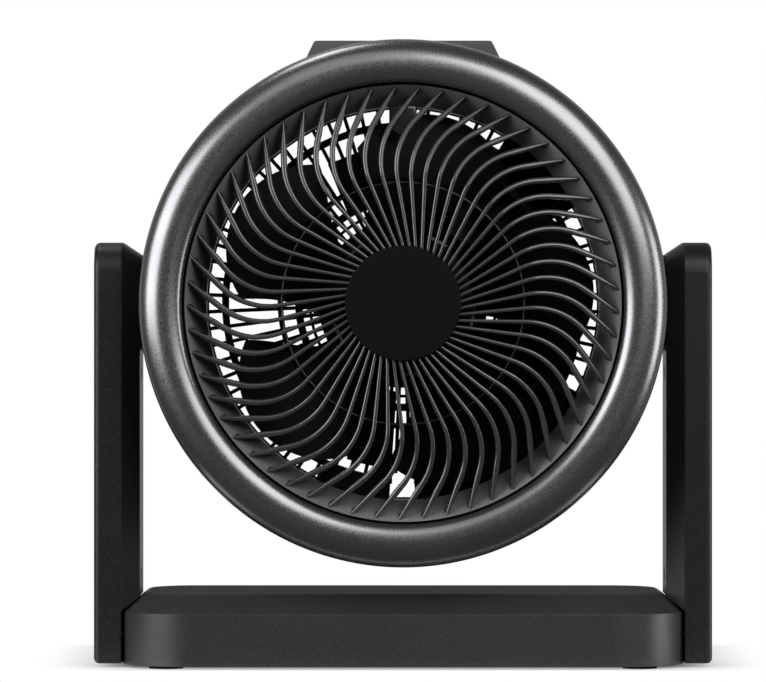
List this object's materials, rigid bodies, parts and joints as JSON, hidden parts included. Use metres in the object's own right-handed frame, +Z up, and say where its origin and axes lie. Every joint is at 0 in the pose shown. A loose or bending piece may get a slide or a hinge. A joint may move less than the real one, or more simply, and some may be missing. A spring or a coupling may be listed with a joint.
{
  "type": "fan heater",
  "caption": "Round tilting fan heater head with swirl grille, bladed fan and ceramic heater packs, held between two arms on a wide box base.",
  "frame": {"origin": "on the floor, under the middle of the tilt axis and of the object's box", "axes": "+Z up, the grille faces -Y, +X to the right as seen from the front; the tilt axis is along X"},
  "size_m": [0.3196, 0.152, 0.3237],
  "materials": {
    "satin_grey_abs": "satin dark-grey ABS, finely spark-eroded",
    "black_abs": "near-black ABS, fine matt grain",
    "grille_black": "black heat-resistant moulding, satin",
    "fan_black": "black glass-filled moulding, satin",
    "base_grey": "dark charcoal ABS, fine matt grain",
    "button_grey": "mid-grey ABS, satin",
    "panel_gloss": "black, polished",
    "rubber": "black rubber, matt",
    "zinc_steel": "zinc-plated steel",
    "core_steel": "laminated core plate",
    "cast_shield": "die-cast aluminium",
    "fin_aluminium": "aluminium fin stock",
    "bronze": "sintered bronze, oiled",
    "copper": "enamelled copper wire",
    "iron": "painted iron plate",
    "heat_frame": "mica-filled heat-resistant moulding",
    "acetal": "natural acetal",
    "fibre": "pressed friction fibre",
    "circuit_board": "glass-epoxy board"
  },
  "bodies": {
    "stand": {"base_housing": "base_grey", "base_plate": "black_abs", "rubber_feet": "rubber", "ballast_plate": "iron", "power_board": "circuit_board", "tip_over_switch": "heat_frame", "cord_gland": "black_abs", "left_arm_shell": "black_abs", "right_arm_shell": "black_abs", "left_arm_cover": "black_abs", "right_arm_cover": "black_abs", "left_pivot_bush": "acetal", "right_pivot_bush": "acetal", "left_friction_washer": "fibre", "right_friction_washer": "fibre", "base_screws": "zinc_steel", "arm_screws": "zinc_steel", "arm_cover_screws": "zinc_steel"},
    "head": {"front_bezel": "satin_grey_abs", "front_grille": "grille_black", "rear_housing": "black_abs", "rear_guard": "black_abs", "motor_cap": "black_abs", "motor_rear_shield": "cast_shield", "motor_front_shield": "cast_shield", "rear_bearing": "bronze", "front_bearing": "bronze", "motor_stator": "core_steel", "motor_windings": "copper", "large_heater_frame": "heat_frame", "small_heater_frame": "heat_frame", "large_heater_element": "fin_aluminium", "small_heater_element": "fin_aluminium", "thermal_cutout": "heat_frame", "run_capacitor": "black_abs", "control_housing": "black_abs", "control_panel": "panel_gloss", "control_board": "circuit_board", "left_pivot_axle": "zinc_steel", "right_pivot_axle": "zinc_steel", "left_retaining_washer": "zinc_steel", "right_retaining_washer": "zinc_steel", "pivot_screws": "zinc_steel", "bezel_screws": "zinc_steel", "guard_screws": "zinc_steel", "motor_screws": "zinc_steel", "heater_screws": "zinc_steel"},
    "rotor": {"motor_shaft": "zinc_steel", "motor_rotor": "core_steel", "fan_blades": "fan_black", "fan_nut": "black_abs"},
    "mode_button": {"mode_button": "button_grey"},
    "power_button": {"power_button": "button_grey"},
    "timer_button": {"timer_button": "button_grey"}
  },
  "joints": [
    {"name": "head_tilt", "type": "hinge", "parent": "stand", "child": "head", "pos_m": [0, 0, 0.188], "axis": [-1, 0, 0], "range_deg": [-10, 90]},
    {"name": "fan_spin", "type": "hinge", "parent": "head", "child": "rotor", "pos_m": [0, 0, 0.188], "axis": [0, -1, 0], "continuous": true},
    {"name": "mode_button_press", "type": "slide", "parent": "head", "child": "mode_button", "axis": [0, 0, -1], "range_m": [0, 0.0012], "stiffness_N_per_m": 1200},
    {"name": "power_button_press", "type": "slide", "parent": "head", "child": "power_button", "axis": [0, 0, -1], "range_m": [0, 0.0012], "stiffness_N_per_m": 1200},
    {"name": "timer_button_press", "type": "slide", "parent": "head", "child": "timer_button", "axis": [0, 0, -1], "range_m": [0, 0.0012], "stiffness_N_per_m": 1200}
  ]
}
